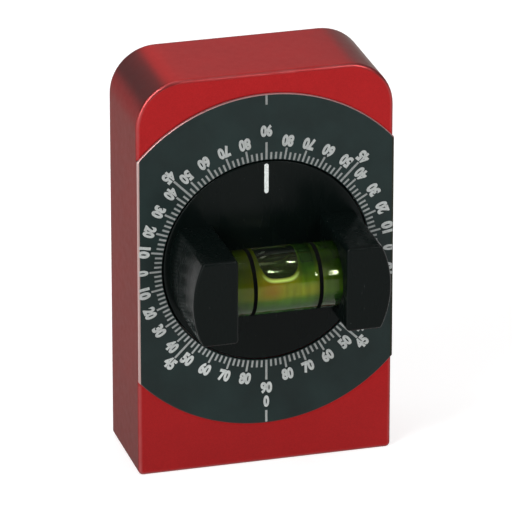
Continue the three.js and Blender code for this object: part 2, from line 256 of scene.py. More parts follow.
def tidy_mesh(mesh, crease=CREASE):
    """Merges doubles, drops faces without area, turns the rest outwards and marks sharp edges."""
    work = bmesh.new()
    work.from_mesh(mesh)
    bmesh.ops.remove_doubles(work, verts=work.verts, dist=MERGE)
    bmesh.ops.dissolve_degenerate(work, edges=work.edges, dist=MERGE)
    bmesh.ops.recalc_face_normals(work, faces=work.faces)
    for edge in work.edges:
        edge.smooth = len(edge.link_faces) == 2 and edge.calc_face_angle(0) < math.radians(crease)
    for face in work.faces:
        face.smooth = True
    work.to_mesh(mesh)
    work.free()


def evaluated_mesh(piece):
    """New mesh of what an object's modifiers, or its text, come to."""
    bpy.context.view_layer.update()
    evaluated = piece.evaluated_get(bpy.context.evaluated_depsgraph_get())
    return bpy.data.meshes.new_from_object(evaluated)


def combine(piece, surfaces, operation):
    """Joins closed surfaces to a piece, as a UNION, or takes them out of it, as a DIFFERENCE."""
    for surface in surfaces:
        tool = make_object("tool", surface)
        modifier = piece.modifiers.new("combine", "BOOLEAN")
        modifier.operation = operation
        modifier.solver = "EXACT"
        modifier.object = tool
        cut = evaluated_mesh(piece)
        piece.modifiers.clear()
        old, piece.data = piece.data, cut
        bpy.data.meshes.remove(old)
        bpy.data.objects.remove(tool)
    piece.data.name = piece.name
    tidy_mesh(piece.data)


def coat(piece, material):
    """Makes a material an object's only one."""
    piece.data.materials.clear()
    piece.data.materials.append(material)


def place(piece, material, body, slot, *nodes):
    """Gives a piece its look and its body, and hides the nodes that it stands for. Slot is not
    used.
    """
    coat(piece, material)
    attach(piece, body)
    if nodes:
        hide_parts(*nodes)


def dress(node, material):
    """Gives a CAD node that stays visible its look."""
    coat(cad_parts[node], material)


# Finishes

def faded(colour, share):
    """Colour times a share, as a tuple."""
    return tuple(share * part for part in colour)


class Graph:
    """A node tree whose textures read one kind of coordinates."""

    def __init__(self, tree, coordinates):
        self.nodes, self.links = tree.nodes, tree.links
        self.coordinates = self.nodes.new("ShaderNodeTexCoord").outputs[coordinates]

    def node(self, kind, **settings):
        """New node with some of its settings."""
        made = self.nodes.new(kind)
        for key, value in settings.items():
            setattr(made, key, value)
        return made

    def feed(self, socket, value):
        """Links an output to a socket, or sets the socket to a number or a colour."""
        if isinstance(value, bpy.types.NodeSocket):
            self.links.new(value, socket)
        elif isinstance(value, (int, float)):
            socket.default_value = value
        else:
            socket.default_value = (*value, 1)

    def moved(self, location=(0, 0, 0), scale=(1, 1, 1)):
        """Coordinates moved and stretched."""
        mapping = self.node("ShaderNodeMapping")
        mapping.inputs["Location"].default_value = location
        mapping.inputs["Scale"].default_value = scale
        self.links.new(self.coordinates, mapping.inputs["Vector"])
        return mapping.outputs["Vector"]

    def noise(self, scale, detail, vector=None):
        """Noise of the given number of features in a metre."""
        texture = self.node("ShaderNodeTexNoise")
        texture.inputs["Scale"].default_value = scale
        texture.inputs["Detail"].default_value = detail
        self.links.new(vector or self.coordinates, texture.inputs["Vector"])
        return texture.outputs["Fac"]

    def ramp(self, factor, *stops):
        """Colour ramp of (place, colour or grey) stops."""
        ramp = self.node("ShaderNodeValToRGB")
        elements = ramp.color_ramp.elements
        while len(elements) < len(stops):
            elements.new(0.5)
        for element, (position, value) in zip(elements, stops):
            grey = isinstance(value, (int, float))
            element.position, element.color = position, (*((value,) * 3 if grey else value), 1)
        self.links.new(factor, ramp.inputs["Fac"])
        return ramp.outputs["Color"]

    def blend(self, factor, first, second, mode="MIX"):
        """Mix of two colours, each one an output or a tuple."""
        mix = self.node("ShaderNodeMix", data_type="RGBA", blend_type=mode)
        for number, value in ((0, factor), (6, first), (7, second)):
            self.feed(mix.inputs[number], value)
        return mix.outputs[2]

    def times(self, first, second):
        """Product of two colours."""
        return self.blend(1.0, first, second, "MULTIPLY")

    def math(self, operation, *values):
        """Maths node of outputs and numbers."""
        node = self.node("ShaderNodeMath", operation=operation)
        for socket, value in zip(node.inputs, values):
            self.feed(socket, value)
        return node.outputs[0]

    def share(self, value, half):
        """Where a length lies between -half and half, as 0 to 1."""
        return self.math("MULTIPLY_ADD", value, 0.5 / half, 0.5)

    def attribute(self, name):
        """One of the piece's own values."""
        return self.node("ShaderNodeAttribute", attribute_name=name).outputs["Fac"]

    def split(self, vector=None):
        """X, Y and Z of a vector."""
        node = self.node("ShaderNodeSeparateXYZ")
        self.links.new(vector or self.coordinates, node.inputs[0])
        return node.outputs


class Finish(Graph):
    """A material whose nodes read Object coordinates."""

    def __init__(self, name, **inputs):
        self.material = bpy.data.materials.new(name)
        self.material.use_nodes = True
        super().__init__(self.material.node_tree, "Object")
        self.shader = self.nodes["Principled BSDF"]
        for socket, value in inputs.items():
            self.shader.inputs[socket.replace("_", " ")].default_value = value

    def drive(self, socket, value):
        """Links an output to one of the shader's sockets."""
        self.links.new(value, self.shader.inputs[socket])

    def relief(self, scale, detail, strength, distance):
        """Relief from noise whose range of 0 to 1 stands for distance metres."""
        bump = self.node("ShaderNodeBump")
        bump.inputs["Strength"].default_value = strength
        bump.inputs["Distance"].default_value = distance
        self.links.new(self.noise(scale, detail), bump.inputs["Height"])
        self.drive("Normal", bump.outputs["Normal"])

    def roughen(self, low, high, scale, detail):
        """Roughness that noise takes from low to high."""
        self.drive("Roughness", self.ramp(self.noise(scale, detail), (0.3, low), (0.7, high)))

    def mottle(self, colour, low, high, scale, detail):
        """Colour that noise takes from low to high times itself."""
        low, high = faded(colour, low), faded(colour, high)
        return self.ramp(self.noise(scale, detail), (0.3, low), (0.7, high))

    def around_dial(self):
        """X and Z from the dial's centre."""
        x, _, z = self.split(self.moved(location=(0, 0, -DIAL_Z)))
        return x, z


def anodised_red(colours):
    """Bead-blasted and dyed aluminium: a metal whose dye darkens its glancing reflection, with fine
    grain, faint cloudiness, and edges made paler partly by wear and partly by a painted highlight."""
    look = Finish("anodised_red", Metallic=1.0, Specular_Tint=(0.2, 0.3, 0.26, 1),
                  Sheen_Weight=0.155, Sheen_Roughness=0.52)
    cloud = look.mottle(colours.red, 0.93, 1.0, 120, 4)
    grain = look.ramp(look.noise(5200, 2), (0.35, 0.86), (0.65, 1.0))
    # paler edges: partly wear, partly a painted highlight
    wear_and_highlight = look.ramp(look.noise(260, 4), (0.3, 0.2), (0.65, 0.5))
    wear_and_highlight = look.math("MULTIPLY", look.attribute("edge"), wear_and_highlight)
    look.drive("Base Color", look.blend(wear_and_highlight, look.times(cloud, grain), (0.42, 0.13, 0.13)))
    look.roughen(0.3, 0.38, 700, 3)
    look.relief(7000, 2, 0.25, 0.012 * MM)
    return look.material


def dial_black(colours):
    """Dark plate with a satin face. Its bare metal round edge has a painted reflection, bright at
    the top; its left side a brighter painted highlight and its right side a dark olive painted
    shade."""
    rim_width, left_width, right_width = 0.15 * MM, 0.33 * MM, 0.4 * MM
    look = Finish("dial_black", Specular_IOR_Level=0.2)
    x, z = look.around_dial()
    squares = [look.math("POWER", length, 2.0) for length in (x, z)]
    radius = look.math("SQRT", look.math("ADD", *squares))
    rim = look.math("GREATER_THAN", radius, PLATE_RADIUS - rim_width)
    left = look.math("LESS_THAN", x, left_width - PLATE_HALF_WIDTH)
    right = look.math("GREATER_THAN", x, PLATE_HALF_WIDTH - right_width)
    # painted reflection on the bare rim: dark at the foot, bright at the top
    rim_painted_reflection = look.ramp(look.share(z, PLATE_RADIUS), (0.1, (0.1, 0.05, 0.05)),
                     (0.4, (0.24, 0.14, 0.13)), (0.8, (0.4, 0.22, 0.22)))
    tone = look.mottle(colours.dial, 0.8, 1.25, 160, 4)
    # painted shade: the right side dark olive
    tone = look.blend(right, tone, (0.012, 0.014, 0.005))
    tone = look.blend(rim, tone, rim_painted_reflection)
    # painted highlight: the left side pale
    look.drive("Base Color", look.blend(left, tone, (0.5, 0.35, 0.33)))
    look.drive("Metallic", look.math("MULTIPLY", look.math("MAXIMUM", rim, left), 0.7))
    look.roughen(0.38, 0.5, 900, 3)
    look.relief(2600, 3, 0.15, 0.01 * MM)
    return look.material


def gloss_black(colours):
    """Glossy turned plastic with faint wipe marks and a little dust."""
    look = Finish("gloss_black", Specular_IOR_Level=0.09)
    marks = look.noise(420, 5, look.moved(scale=(1, 1, 0.25)))
    dust = look.ramp(look.noise(2300, 1), (0.78, 0.0), (0.82, 1.0))
    dust = look.math("MULTIPLY", dust, 0.25)
    look.drive("Base Color", look.blend(dust, colours.black, (0.35, 0.37, 0.36)))
    look.drive("Roughness", look.ramp(marks, (0.35, 0.22), (0.7, 0.32)))
    look.relief(1500, 2, 0.06, 0.01 * MM)
    return look.material


def print_white(colours, name, lower, upper):
    """Screen-printed ink, greyer the thinner it is: its white goes from lower at the dial's foot to
    upper at its top and is slightly uneven."""
    look = Finish(name, Roughness=0.55, Specular_IOR_Level=0.3)
    _, z = look.around_dial()
    foot, top = faded(colours.white, lower), faded(colours.white, upper)
    ink = look.ramp(look.share(z, PLATE_RADIUS), (0.1, foot), (0.9, top))
    patches = look.ramp(look.noise(3500, 3), (0.3, 0.78), (0.6, 1.0))
    look.drive("Base Color", look.times(ink, patches))
    look.relief(6000, 2, 0.2, 0.006 * MM)
    return look.material


def clear_acrylic():
    """Clear moulded acrylic with faint polishing marks."""
    look = Finish("clear_acrylic", Base_Color=(0.95, 0.98, 0.8, 1), IOR=1.36,
                  Transmission_Weight=1.0, Specular_IOR_Level=0.35,
                  Specular_Tint=(0.8, 0.95, 0.5, 1))
    look.drive("Roughness", look.ramp(look.noise(900, 3), (0.35, 0.01), (0.7, 0.025)))
    look.relief(260, 2, 0.02, 0.02 * MM)
    return look.material


def vial_liquid(colours):
    """Dyed yellow-green liquid with painted light and shade for its refraction: warmer left of the
    middle, darker above, green below and deep green at the upper right. The bubble is painted
    dark, and its shore has a painted highlight that glows."""
    warm_half, side_half = 6 * MM, 13 * MM
    plain = (1.0, 1.0, 1.0)
    look = Finish("vial_liquid", Roughness=0.05, IOR=1.33, Transmission_Weight=0.3,
                  Specular_IOR_Level=0.0, Emission_Strength=0.5)
    x, z = look.around_dial()
    height, along = look.share(z, BORE_RADIUS), look.share(x, side_half)
    # painted light and shade by height: bright a little below the middle, darker above, green below
    shade = look.ramp(height, (0.12, (0.05, 0.3, 0.3)), (0.27, (0.25, 0.6, 0.5)),
                      (0.38, (0.9, 0.95, 1.0)), (0.55, (0.9, 0.9, 0.9)),
                      (0.75, (0.5, 0.52, 0.5)), (0.92, (0.25, 0.32, 0.3)))
    tone = look.times(colours.liquid, shade)
    streaks = look.noise(900, 3, look.moved(scale=(1, 0.2, 0.2)))
    tone = look.times(tone, look.ramp(streaks, (0.3, 0.7), (0.7, 1.15)))
    # painted shade towards both ends of the vial
    side = look.ramp(along, (0.17, (0.35, 0.48, 0.5)), (0.27, plain), (0.7, plain),
                     (0.78, (0.25, 0.5, 0.6)), (0.93, (0.12, 0.3, 0.4)))
    tone = look.times(tone, side)
    # painted warm light left of the middle, at mid height
    warm_painted_light = look.ramp(look.share(x, warm_half), (0.04, 0.0), (0.17, 0.8), (0.3, 1.0), (0.52, 0.0))
    middle = look.ramp(height, (0.25, 0.0), (0.45, 0.9), (0.6, 0.75), (0.75, 0.0))
    tone = look.blend(look.math("MULTIPLY", warm_painted_light, middle), tone, (0.34, 0.16, 0.01))
    # painted shade: deep green above the middle at the upper right
    deep_painted_shade = look.ramp(height, (0.48, plain), (0.6, (0.5, 0.82, 0.95)), (0.8, (0.27, 0.68, 1.2)),
                     (0.92, (0.14, 0.36, 1.2)))
    right = look.ramp(along, (0.55, 0.0), (0.62, 1.0), (0.7, 1.0), (0.75, 0.0))
    tone = look.times(tone, look.blend(right, plain, deep_painted_shade))
    # painted shade in the bubble
    tone = look.blend(look.attribute("bubble"), tone, (0.012, 0.025, 0.004))
    shore = look.attribute("shore")
    # painted highlight on the bubble's shore, which also glows
    look.drive("Base Color", look.blend(shore, tone, (0.8, 1.0, 0.28)))
    look.drive("Emission Color", look.blend(shore, (0.0, 0.0, 0.0), (0.36, 0.6, 0.14)))
    return look.material


def line_black():
    """Black line filled into the vial."""
    look = Finish("line_black", Roughness=0.6, Specular_IOR_Level=0.0)
    look.drive("Base Color", look.ramp(look.noise(3000, 2), (0.3, 0.002), (0.7, 0.006)))
    return look.material


def plated_steel(name, colour, roughness):
    """Plated steel with fine turning marks."""
    look = Finish(name, Metallic=1.0)
    look.drive("Base Color", look.mottle(colour, 0.7, 1.0, 500, 4))
    look.roughen(roughness, roughness + 0.15, 2400, 4)
    look.relief(2400, 4, 0.2, 0.01 * MM)
    return look.material


def dull_plastic(name, colour, roughness):
    """Moulded plastic or rubber with a fine matt grain."""
    look = Finish(name, Specular_IOR_Level=0.3)
    look.drive("Base Color", look.mottle(colour, 0.8, 1.0, 600, 3))
    look.roughen(roughness, roughness + 0.1, 2500, 2)
    look.relief(4000, 2, 0.2, 0.01 * MM)
    return look.material


# Operators

class LevelOperator(bpy.types.Operator):
    """Base of the level's operators."""

    bl_options = {"REGISTER", "UNDO"}

    def execute(self, context):
        """Runs the piece's own build with the scene's sizes and colours."""
        self.build(context.scene.level_sizes, context.scene.level_colours)
        return {"FINISHED"}


class LEVEL_OT_stage(LevelOperator):
    """Set up the floor, the lamps, the world and the camera"""

    bl_idname = "level.stage"
    bl_label = "Stage"

    azimuth = math.radians(-15.66)
    elevation = math.radians(22.63)
    lens = 407.5
    aim = (0.0, -9.9 * MM, 38.1 * MM)
    offset = (-1.742 * MM, 2.443 * MM, 1.0471)  # from the aim to the camera: right, up and back
    floor_half = 3.0
    floor_gap = 0.01 * MM
    lift = 0.62  # glow of the floor, which makes it white
    shade_length = 0.3  # length along Y that the ramp of the floor's reflection covers
    shade_origin = 0.8  # where the ramp stands at the block
    sky = ((0.03, 1.0), (0.06, 0.03), (0.14, 0.03), (0.28, 0.16), (0.42, 0.27))
    glow = ((0.05, 1.0), (0.2, 0.9), (0.34, 0.27))

    def build(self, sizes, colours):
        self.camera()
        self.floor()
        self.lamps()
        scene = bpy.context.scene
        scene.view_settings.view_transform = "Standard"
        scene.world = self.surroundings()

    def surroundings(self):
        """World with a narrow white band at the horizon, dark above it and grey further up. Behind
        the block to the right it stays bright above the horizon."""
        world = bpy.data.worlds.new("studio")
        world.use_nodes = True
        graph = Graph(world.node_tree, "Generated")
        x, y, z = graph.split()
        behind = graph.ramp(graph.math("MULTIPLY", x, y), (0.25, 0.0), (0.36, 1.0))
        colour = graph.blend(behind, graph.ramp(z, *self.sky), graph.ramp(z, *self.glow))
        graph.feed(graph.nodes["Background"].inputs["Color"], colour)
        return world

    def camera(self):
        """Camera at the photograph's viewing angle, aimed past the middle of the block's front."""
        data = bpy.data.cameras.new("camera")
        data.lens = self.lens
        data.clip_start, data.clip_end = 0.05, 20.0
        camera = add_object("camera", data)
        camera.rotation_euler = (QUARTER - self.elevation, 0, self.azimuth)
        away = camera.rotation_euler.to_matrix() @ Vector(self.offset)
        camera.location = Vector(self.aim) + away
        bpy.context.scene.camera = camera

    def floor(self):
        """Floor that glows white to the camera and in reflections, where a painted shade makes it
        greyer right in front of the block. It lights nothing, and keeps the block's shadow."""
        half, z = self.floor_half, -self.floor_gap
        corners = [(-half, -half, z), (half, -half, z), (half, half, z), (-half, half, z)]
        floor = make_object("floor", (corners, [(0, 1, 2, 3)]))
        look = Finish("pale_floor", Base_Color=(0.55, 0.55, 0.55, 1), Roughness=0.8,
                      Specular_IOR_Level=0.1, Emission_Color=(1, 1, 1, 1))
        path = look.node("ShaderNodeLightPath").outputs
        _, y, _ = look.split()
        along = look.math("MULTIPLY_ADD", y, 1 / self.shade_length, self.shade_origin)
        # painted shade, seen only in reflections of the floor near the block
        shade = look.ramp(along, (0.1, 1.0), (0.72, 0.62), (0.83, 0.62), (0.95, 1.0))
        mirrored = look.math("MAXIMUM", path["Is Glossy Ray"], path["Is Transmission Ray"])
        seen = look.math("MAXIMUM", path["Is Camera Ray"], look.math("MULTIPLY", mirrored, shade))
        look.drive("Emission Strength", look.math("MULTIPLY", seen, self.lift))
        coat(floor, look.material)

    def lamps(self):
        """Soft lamps, and narrow ones that make the glints on the vial: name, place, width, height
        and power."""
        lamps = (
            ("key", (0.9, -1.2, 1.1), 0.8, 0.8, 9.5),
            ("fill", (-1.15, -0.65, 0.72), 0.32, 0.32, 7.6),
            ("fill_low", (-1.2, -0.5, 0.22), 0.3, 0.3, 1.9),
            ("fill_high", (-0.74, -0.64, 1.08), 0.32, 0.32, 5.5),
            ("top", (-0.1, 0.1, 1.6), 1.0, 1.0, 4.1),
            ("back", (0.22, 1.2, 0.95), 0.95, 0.7, 3.8),
            ("glint_right", (0.29, -0.96, 0.475), 0.003, 0.3, 0.3),
            ("glint_middle", (0.2815, -0.96, 0.475), 0.0008, 0.2, 0.03),
            ("glint_upper", (0.2879, -0.25, 1.11), 0.0013, 0.15, 0.08),
            ("glint_left", (0.2797, -0.715, 0.88), 0.0013, 0.15, 0.09),
        )
        for name, spot, width, height, power in lamps:
            data = bpy.data.lights.new(name, "AREA")
            data.shape = "ELLIPSE"
            data.size, data.size_y = width, height
            data.energy = power
            back = (Vector(spot) - Vector(DIAL_CENTRE)).normalized()
            up = back.cross(Vector((1, 0, 0))).normalized()
            turn = Matrix((up.cross(back), up, back)).transposed().to_4x4()
            add_object(name, data).matrix_world = Matrix.Translation(spot) @ turn


class LEVEL_OT_block(LevelOperator):
    """Make the red block with its rounded edges, pocket, recess and magnet seats"""

    bl_idname = "level.block"
    bl_label = "Block"

    corner_steps = 14
    edge_steps = 7
    side_cuts = (24, 36, 12, 36)  # stretches of the foot, the right side, the top and the left side
    flat_rim = 0.2 * MM  # strip of flat face beside a rounded edge
    shoulder = 1.5  # width of the square strips behind the plate, in edge radii
    recess_play = 0.6 * MM
    bush_flange = 0.5 * MM
    bush_hole = 6.55 * MM

    def outline(self, sizes, inset):
        """Front outline moved inwards by inset, with as many points whatever the inset is."""
        left, right = BLOCK.left + inset, BLOCK.right - inset
        foot, top = BLOCK.foot + inset, BLOCK.top - inset
        radii = [sizes.foot_round] * 2 + [sizes.corner_round] * 2
        radii = [max(radius - inset, LEAST_ROUND) for radius in radii]
        corners = [(left, foot), (right, foot), (right, top), (left, top)]
        arcs = np.split(filleted(corners, radii, self.corner_steps), 4)
        points = []
        for here, following, count in zip(arcs, arcs[1:] + arcs[:1], self.side_cuts):
            share = np.arange(1, count)[:, None] / count
            points += [here, here[-1] + (following[0] - here[-1]) * share]
        return np.vstack(points)

    def shoulders(self, edge):
        """Outlines of the two square strips behind the plate, where the front edge isn't rounded.
        Both ends follow the plate's circle."""
        x = np.linspace(BLOCK.right - self.shoulder * edge, BLOCK.right, num=6)
        rise = np.sqrt(PLATE_RADIUS ** 2 - x ** 2)
        lower, upper = np.stack([x, DIAL_Z - rise], axis=1), np.stack([x, DIAL_Z + rise], axis=1)
        right = np.vstack([lower, upper[::-1]])
        return right, right[::-1] * (-1, 1)

    def build(self, sizes, colours):
        edge, small = sizes.edge_round, sizes.small_break
        outside = self.outline(sizes, 0.0)
        towards = outside - (0, DIAL_Z)
        towards = towards / np.linalg.norm(towards, axis=1)[:, None]

        def circle(radius, y):
            return at_depth(towards * radius + (0, DIAL_Z), y)

        def rounded(inset, y):
            return at_depth(self.outline(sizes, inset), y)

        def face(start, end):
            """Two rings of a flat face with three more between them."""
            return [start, *(start + (end - start) * share for share in (0.25, 0.5, 0.75)), end]

        pocket, recess = DISC_RADIUS + sizes.rim_play, WASHER.right + self.recess_play
        pocket_floor, recess_floor = BUSH.near + self.bush_flange, BUSH.far
        flat, turn = edge + self.flat_rim, np.linspace(0, QUARTER, self.edge_steps + 1)
        rings = [circle(pocket, pocket_floor), circle(pocket, FACE_Y + small)]
        rings += face(circle(pocket + small, FACE_Y), rounded(flat, FACE_Y))
        front_edge = len(rings)
        rings += [rounded(inset, FACE_Y + depth) for inset, depth in rounded_edge(edge, turn)]
        depth = BACK_Y - FACE_Y
        rings += [rounded(0.0, FACE_Y + depth * share) for share in (0.05, 0.35, 0.65, 0.95)]
        back_edge = len(rings)
        rings += [rounded(inset, BACK_Y - depth) for inset, depth in rounded_edge(edge, turn[::-1])]
        rings += face(rounded(flat, BACK_Y), circle(recess + small, BACK_Y))
        rings += [circle(recess, BACK_Y - small), circle(recess, recess_floor),
                  circle(self.bush_hole, recess_floor), circle(self.bush_hole, pocket_floor)]
        # share of the rounded edges that the red finish makes paler: partly wear, partly a painted
        # highlight
        worn_and_highlit = np.zeros(len(rings))
        for first in (front_edge, back_edge):
            worn_and_highlit[first:first + len(turn)] = np.sin(2 * turn)
        worn_and_highlit = np.repeat(worn_and_highlit, len(outside))
        piece = make_object("block", ring_surface(rings, closed=True), edge=worn_and_highlit)
        strips = [slab(loop, FACE_Y, FACE_Y + edge) for loop in self.shoulders(edge)]
        combine(piece, strips, "UNION")
        seat = [(CUP_RADIUS + FIT, -MM), (CUP_RADIUS + FIT, CUP.top + FIT)]
        seats = [turned(seat, ROUND, "Z", (side * CUP_X, 0, 0)) for side, _ in SIDES]
        combine(piece, seats, "DIFFERENCE")
        place(piece, anodised_red(colours), "block", "red_block", "body_block")


class LEVEL_OT_dial_plate(LevelOperator):
    """Make the dark dial plate, a circle cut off by the block's sides"""

    bl_idname = "level.dial_plate"
    bl_label = "Dial plate"

    count = 360  # points round the plate, apart from its corners

    def build(self, sizes, colours):
        corner = math.acos(PLATE_HALF_WIDTH / PLATE_RADIUS)
        corners = [corner, math.pi - corner, math.pi + corner, FULL_TURN - corner]
        angle = np.union1d(np.linspace(0, FULL_TURN, self.count, endpoint=False), corners)
        across = np.maximum(np.abs(np.cos(angle)), 1e-6)  # it divides, so it is never 0

        def ring(radius, y):
            """Circle of one radius, or of an array of them, round the dial's centre."""
            spots = np.stack([radius * np.cos(angle), DIAL_Z + radius * np.sin(angle)], axis=1)
            return at_depth(spots, y)

        def outside(inset):
            """Plate's edge: the circle, or the straight side where that is nearer."""
            return np.minimum(PLATE_RADIUS - inset, (PLATE_HALF_WIDTH - inset) / across)

        small, hole = sizes.small_break, DISC_RADIUS + sizes.rim_play
        rings = [ring(hole, FACE_Y), ring(hole, PLATE_Y + small), ring(hole + small, PLATE_Y)]
        face = outside(small) - hole
        rings += [ring(hole + face * share, PLATE_Y) for share in (0.3, 0.7, 1.0)]
        rings += [ring(outside(0.0), PLATE_Y + small), ring(outside(0.0), FACE_Y)]
        piece = make_object("dial_plate_face", ring_surface(rings, closed=True), crease=25)
        place(piece, dial_black(colours), "block", "dial", "dial_plate")


def directions(angle):
    """Two directions on the dial's face at an angle: outwards, and on round the dial."""
    outward = np.array([math.cos(angle), math.sin(angle)])
    return outward, np.array([-outward[1], outward[0]])


def bar(angle, inside, outside, width):
    """Outline of a straight line that runs outwards on the dial, as X and Z points."""
    along, across = directions(angle)
    across = across * width / 2
    corners = [along * inside + across, along * inside - across,
               along * outside - across, along * outside + across]
    return np.array(corners) + (0, DIAL_Z)


class LEVEL_OT_graduations(LevelOperator):
    """Print the dial's lines: one each 2.5 degrees, longer ones at 10, 45 and 90 degrees"""

    bl_idname = "level.graduations"
    bl_label = "Graduations"

    step = 2.5
    long_45 = 24.3 * MM
    long_90 = {90: 22.9 * MM, 270: 23.5 * MM}  # radius at which the lines end, above and below
    edge_lines = {90: 30.1 * MM, 270: 29.6 * MM}  # radius at which the lines at the edge start

    def build(self, sizes, colours):
        near, far = PLATE_Y - sizes.print_height, PLATE_Y + sizes.print_height
        edge = PLATE_RADIUS - 2 * sizes.small_break
        lines = []
        for k in range(round(360 / self.step)):
            degrees = k * self.step
            long = self.long_45 if degrees % 90 == 45 else self.long_90.get(degrees)
            short = sizes.major_outside if degrees % 10 == 0 else sizes.minor_outside
            width = sizes.long_tick_width if long else sizes.tick_width
            lines.append((math.radians(degrees), sizes.tick_inside, long or short, width))
        for degrees, start in self.edge_lines.items():
            lines.append((math.radians(degrees), start, edge, sizes.long_tick_width))
        piece = make_object("graduations", joined([slab(bar(*line), near, far) for line in lines]))
        place(piece, print_white(colours, "line_print", 0.5, 0.31), "block", "white_line")


class LEVEL_OT_numerals(LevelOperator):
    """Print the dial's numerals, with their heads towards its centre"""

    bl_idname = "level.numerals"
    bl_label = "Numerals"

    radius_45 = 25.6 * MM
    radius_90 = 25.1 * MM
    radius_zero = 27.8 * MM
    boldness = 0.06
    margin = 1.5  # bare strip at the plate's straight sides, in small breaks

    def glyphs(self, text, sizes):
        """Flat mesh of a text, set to the numerals' height and width, as points and faces."""
        curve = bpy.data.curves.new("glyphs", "FONT")
        curve.body = text
        curve.offset = self.boldness
        curve.resolution_u = 4
        carrier = add_object("glyphs", curve)
        mesh = evaluated_mesh(carrier)
        bpy.data.objects.remove(carrier)
        points = np.array([vertex.co[:2] for vertex in mesh.vertices])
        faces = [list(face.vertices) for face in mesh.polygons]
        bpy.data.meshes.remove(mesh)
        low, high = points.min(axis=0), points.max(axis=0)
        wanted = sizes.digit_width * len(text), sizes.numeral_height
        return (points - (low + high) / 2) * wanted / (high - low), faces

    def build(self, sizes, colours):
        places = []
        for degrees in range(0, 360, 10):
            value = 90 - abs(degrees % 180 - 90)
            radius = self.radius_90 if value == 90 else sizes.numeral_radius
            places.append((str(value), degrees, radius))
        places += [("45", degrees, self.radius_45) for degrees in (45, 135, 225, 315)]
        places.append(("0", 270, self.radius_zero))
        known = {text: self.glyphs(text, sizes) for text in sorted({p[0] for p in places})}
        parts = []
        for text, degrees, radius in places:
            flat, faces = known[text]
            outward, right = directions(math.radians(degrees))
            spots = outward * radius + flat[:, :1] * right - flat[:, 1:] * outward + (0, DIAL_Z)
            parts.append((at_depth(spots, PLATE_Y - sizes.print_height), faces))
        piece = make_object("numerals", joined(parts))
        self.trim_and_thicken(piece, sizes)
        place(piece, print_white(colours, "numeral_print", 0.74, 0.52), "block", "white_line")

    def trim_and_thicken(self, piece, sizes):
        """Cuts off what passes the plate's straight sides and gives the print its thickness."""
        limit = PLATE_HALF_WIDTH - self.margin * sizes.small_break
        work = bmesh.new()
        work.from_mesh(piece.data)
        for side, _ in SIDES:
            everything = work.verts[:] + work.edges[:] + work.faces[:]
            bmesh.ops.bisect_plane(work, geom=everything, plane_co=(side * limit, 0, 0),
                                   plane_no=(side, 0, 0), clear_outer=True)
        grown = bmesh.ops.extrude_face_region(work, geom=work.faces[:])
        moved = [v for v in grown["geom"] if isinstance(v, bmesh.types.BMVert)]
        bmesh.ops.translate(work, verts=moved, vec=(0, 2 * sizes.print_height, 0))
        work.to_mesh(piece.data)
        work.free()
        tidy_mesh(piece.data)


class LEVEL_OT_disc(LevelOperator):
    """Make the turret's glossy disc and the white pointer line in its face"""

    bl_idname = "level.disc"
    bl_label = "Turret disc"

    thickness = 7.4 * MM
    edge_breaks = 2.5  # radius of its edges, in small breaks
    inner_ring = 0.4 * DISC_RADIUS  # where both flat faces close
    outer_ring = 0.97 * DISC_RADIUS  # edge of the front's flat part

    def build(self, sizes, colours):
        small = self.edge_breaks * sizes.small_break
        front, back = DISC.near, DISC.near + self.thickness
        section = [(self.inner_ring, front), (DISC_RADIUS, front), (DISC_RADIUS, back),
                   (self.inner_ring, back)]
        section = filleted(section, [0, small, small, 0], steps=5, closed=False)
        section = np.insert(section, 1, [(self.outer_ring, front)], axis=0)
        piece = make_object("turret_disc_face", turned(section, count=192))
        place(piece, gloss_black(colours), "turret", "turret_plastic", "turret_disc")
        round_end = (POINTER.right - POINTER.left) / 2
        outline = np.vstack([arc((0, POINTER.top - round_end), round_end, 0, math.pi, steps=16),
                             arc((0, POINTER.foot + round_end), -round_end, 0, math.pi, steps=16)])
        line = make_object("pointer", slab(outline, front - sizes.print_height, POINTER.far))
        ink = print_white(colours, "pointer_print", 1.0, 1.0)
        place(line, ink, "turret", "white_line", "pointer_line")


